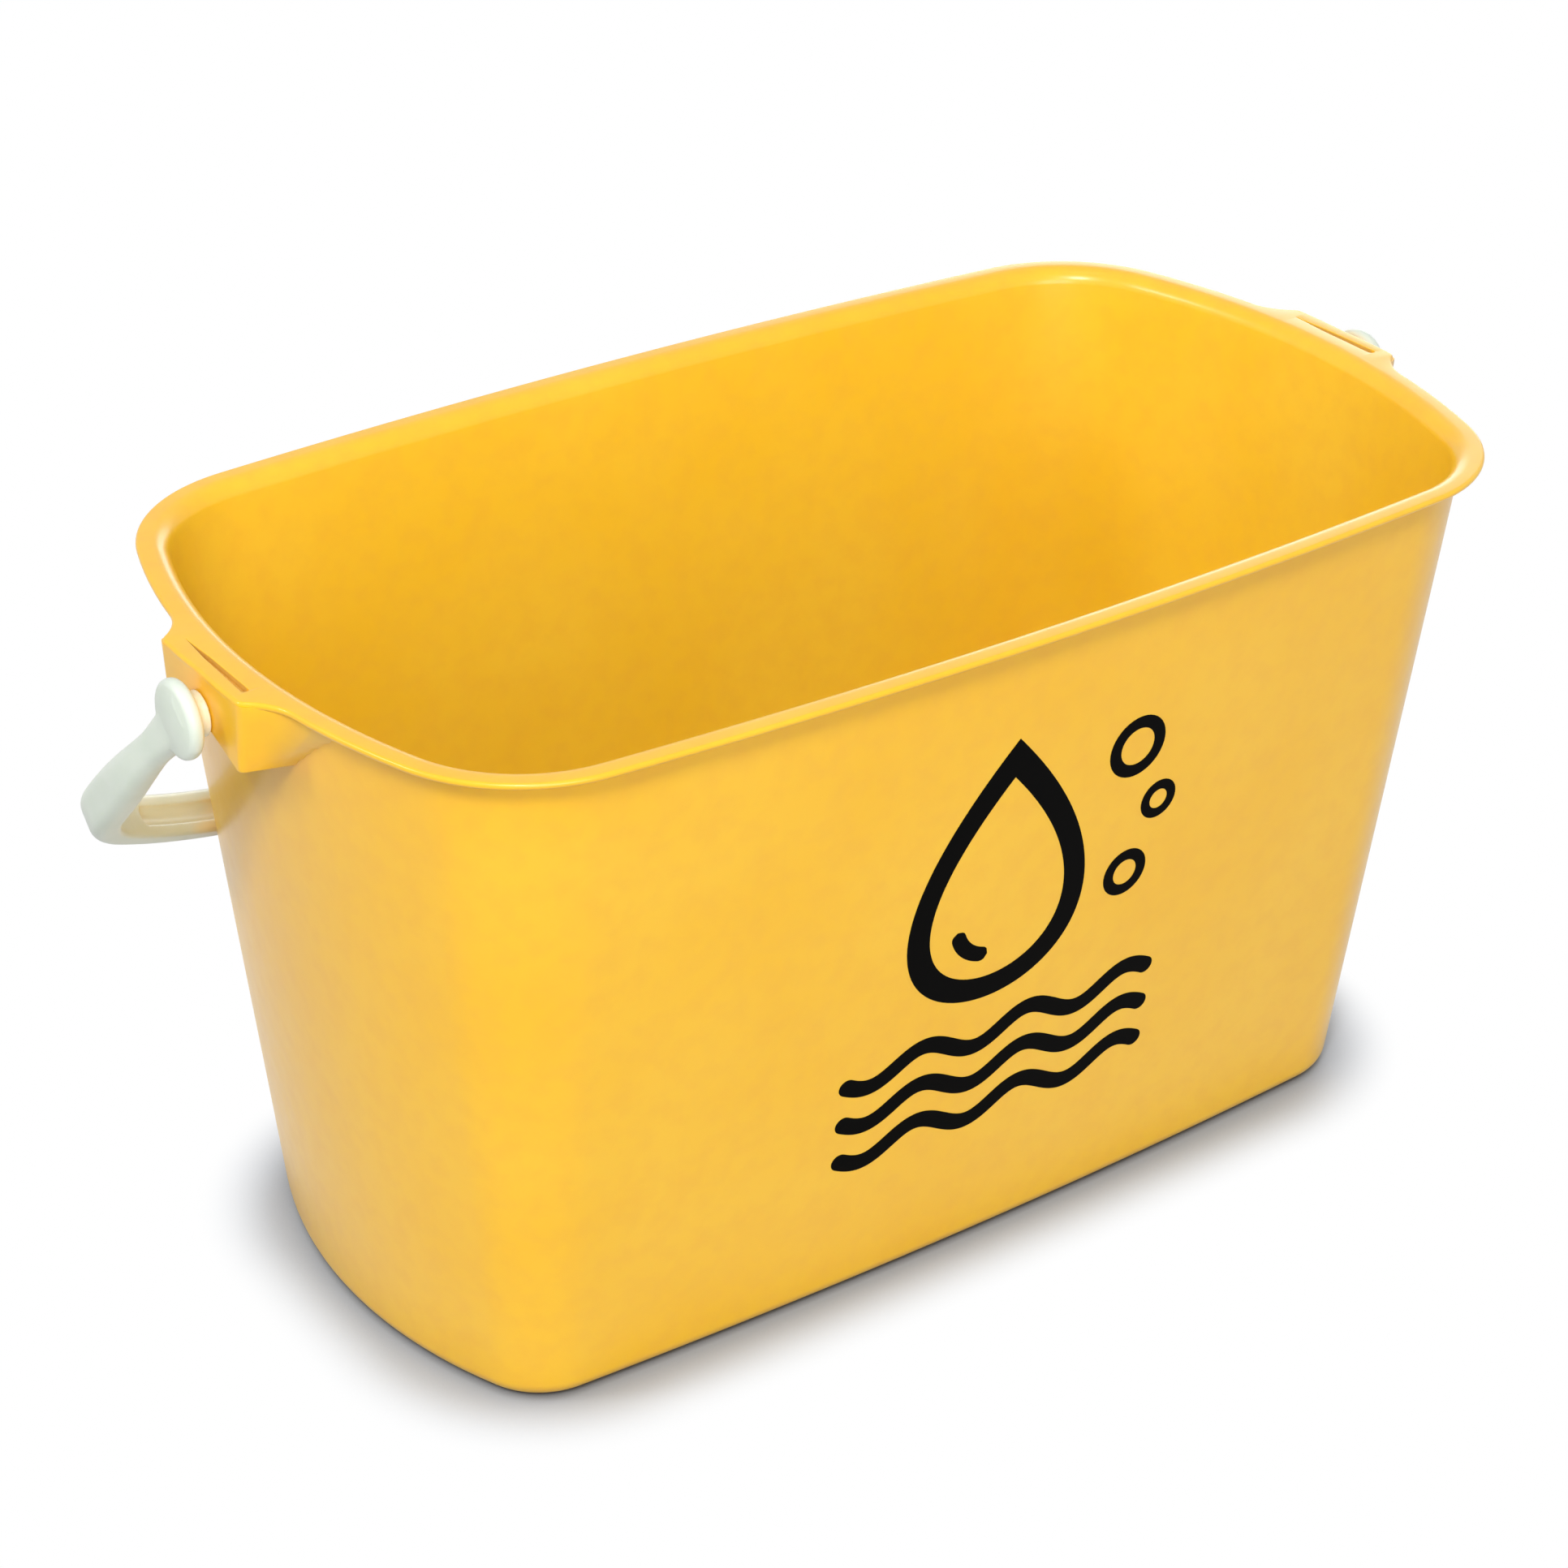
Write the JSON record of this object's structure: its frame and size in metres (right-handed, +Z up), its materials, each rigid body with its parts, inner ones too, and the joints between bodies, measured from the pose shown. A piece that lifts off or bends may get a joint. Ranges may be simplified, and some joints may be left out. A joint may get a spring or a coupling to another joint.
{
  "type": "cleaning bucket",
  "caption": "Oblong moulded plastic cleaning bucket with tapered bowed walls, a flat flanged rim, hollow pivot lugs and a swinging snap-in carrying bail.",
  "frame": {"origin": "centre of the tub's underside, on the plane that the foot ring stands on", "axes": "+X along the tub's length from one bail pivot to the other, +Y towards the wall that the bail hangs against, +Z up"},
  "size_m": [0.5276, 0.273, 0.27],
  "materials": {
    "tub_plastic": "semi-gloss moulded yellow polypropylene",
    "bail_plastic": "semi-gloss milky natural polypropylene"
  },
  "bodies": {
    "tub": {"tub": "tub_plastic"},
    "bail": {"bail": "bail_plastic"}
  },
  "joints": [
    {"name": "bail_swing", "type": "hinge", "parent": "tub", "child": "bail", "pos_m": [0, 0, 0.2546], "axis": [1, 0, 0], "range_deg": [0, 268.9]}
  ]
}
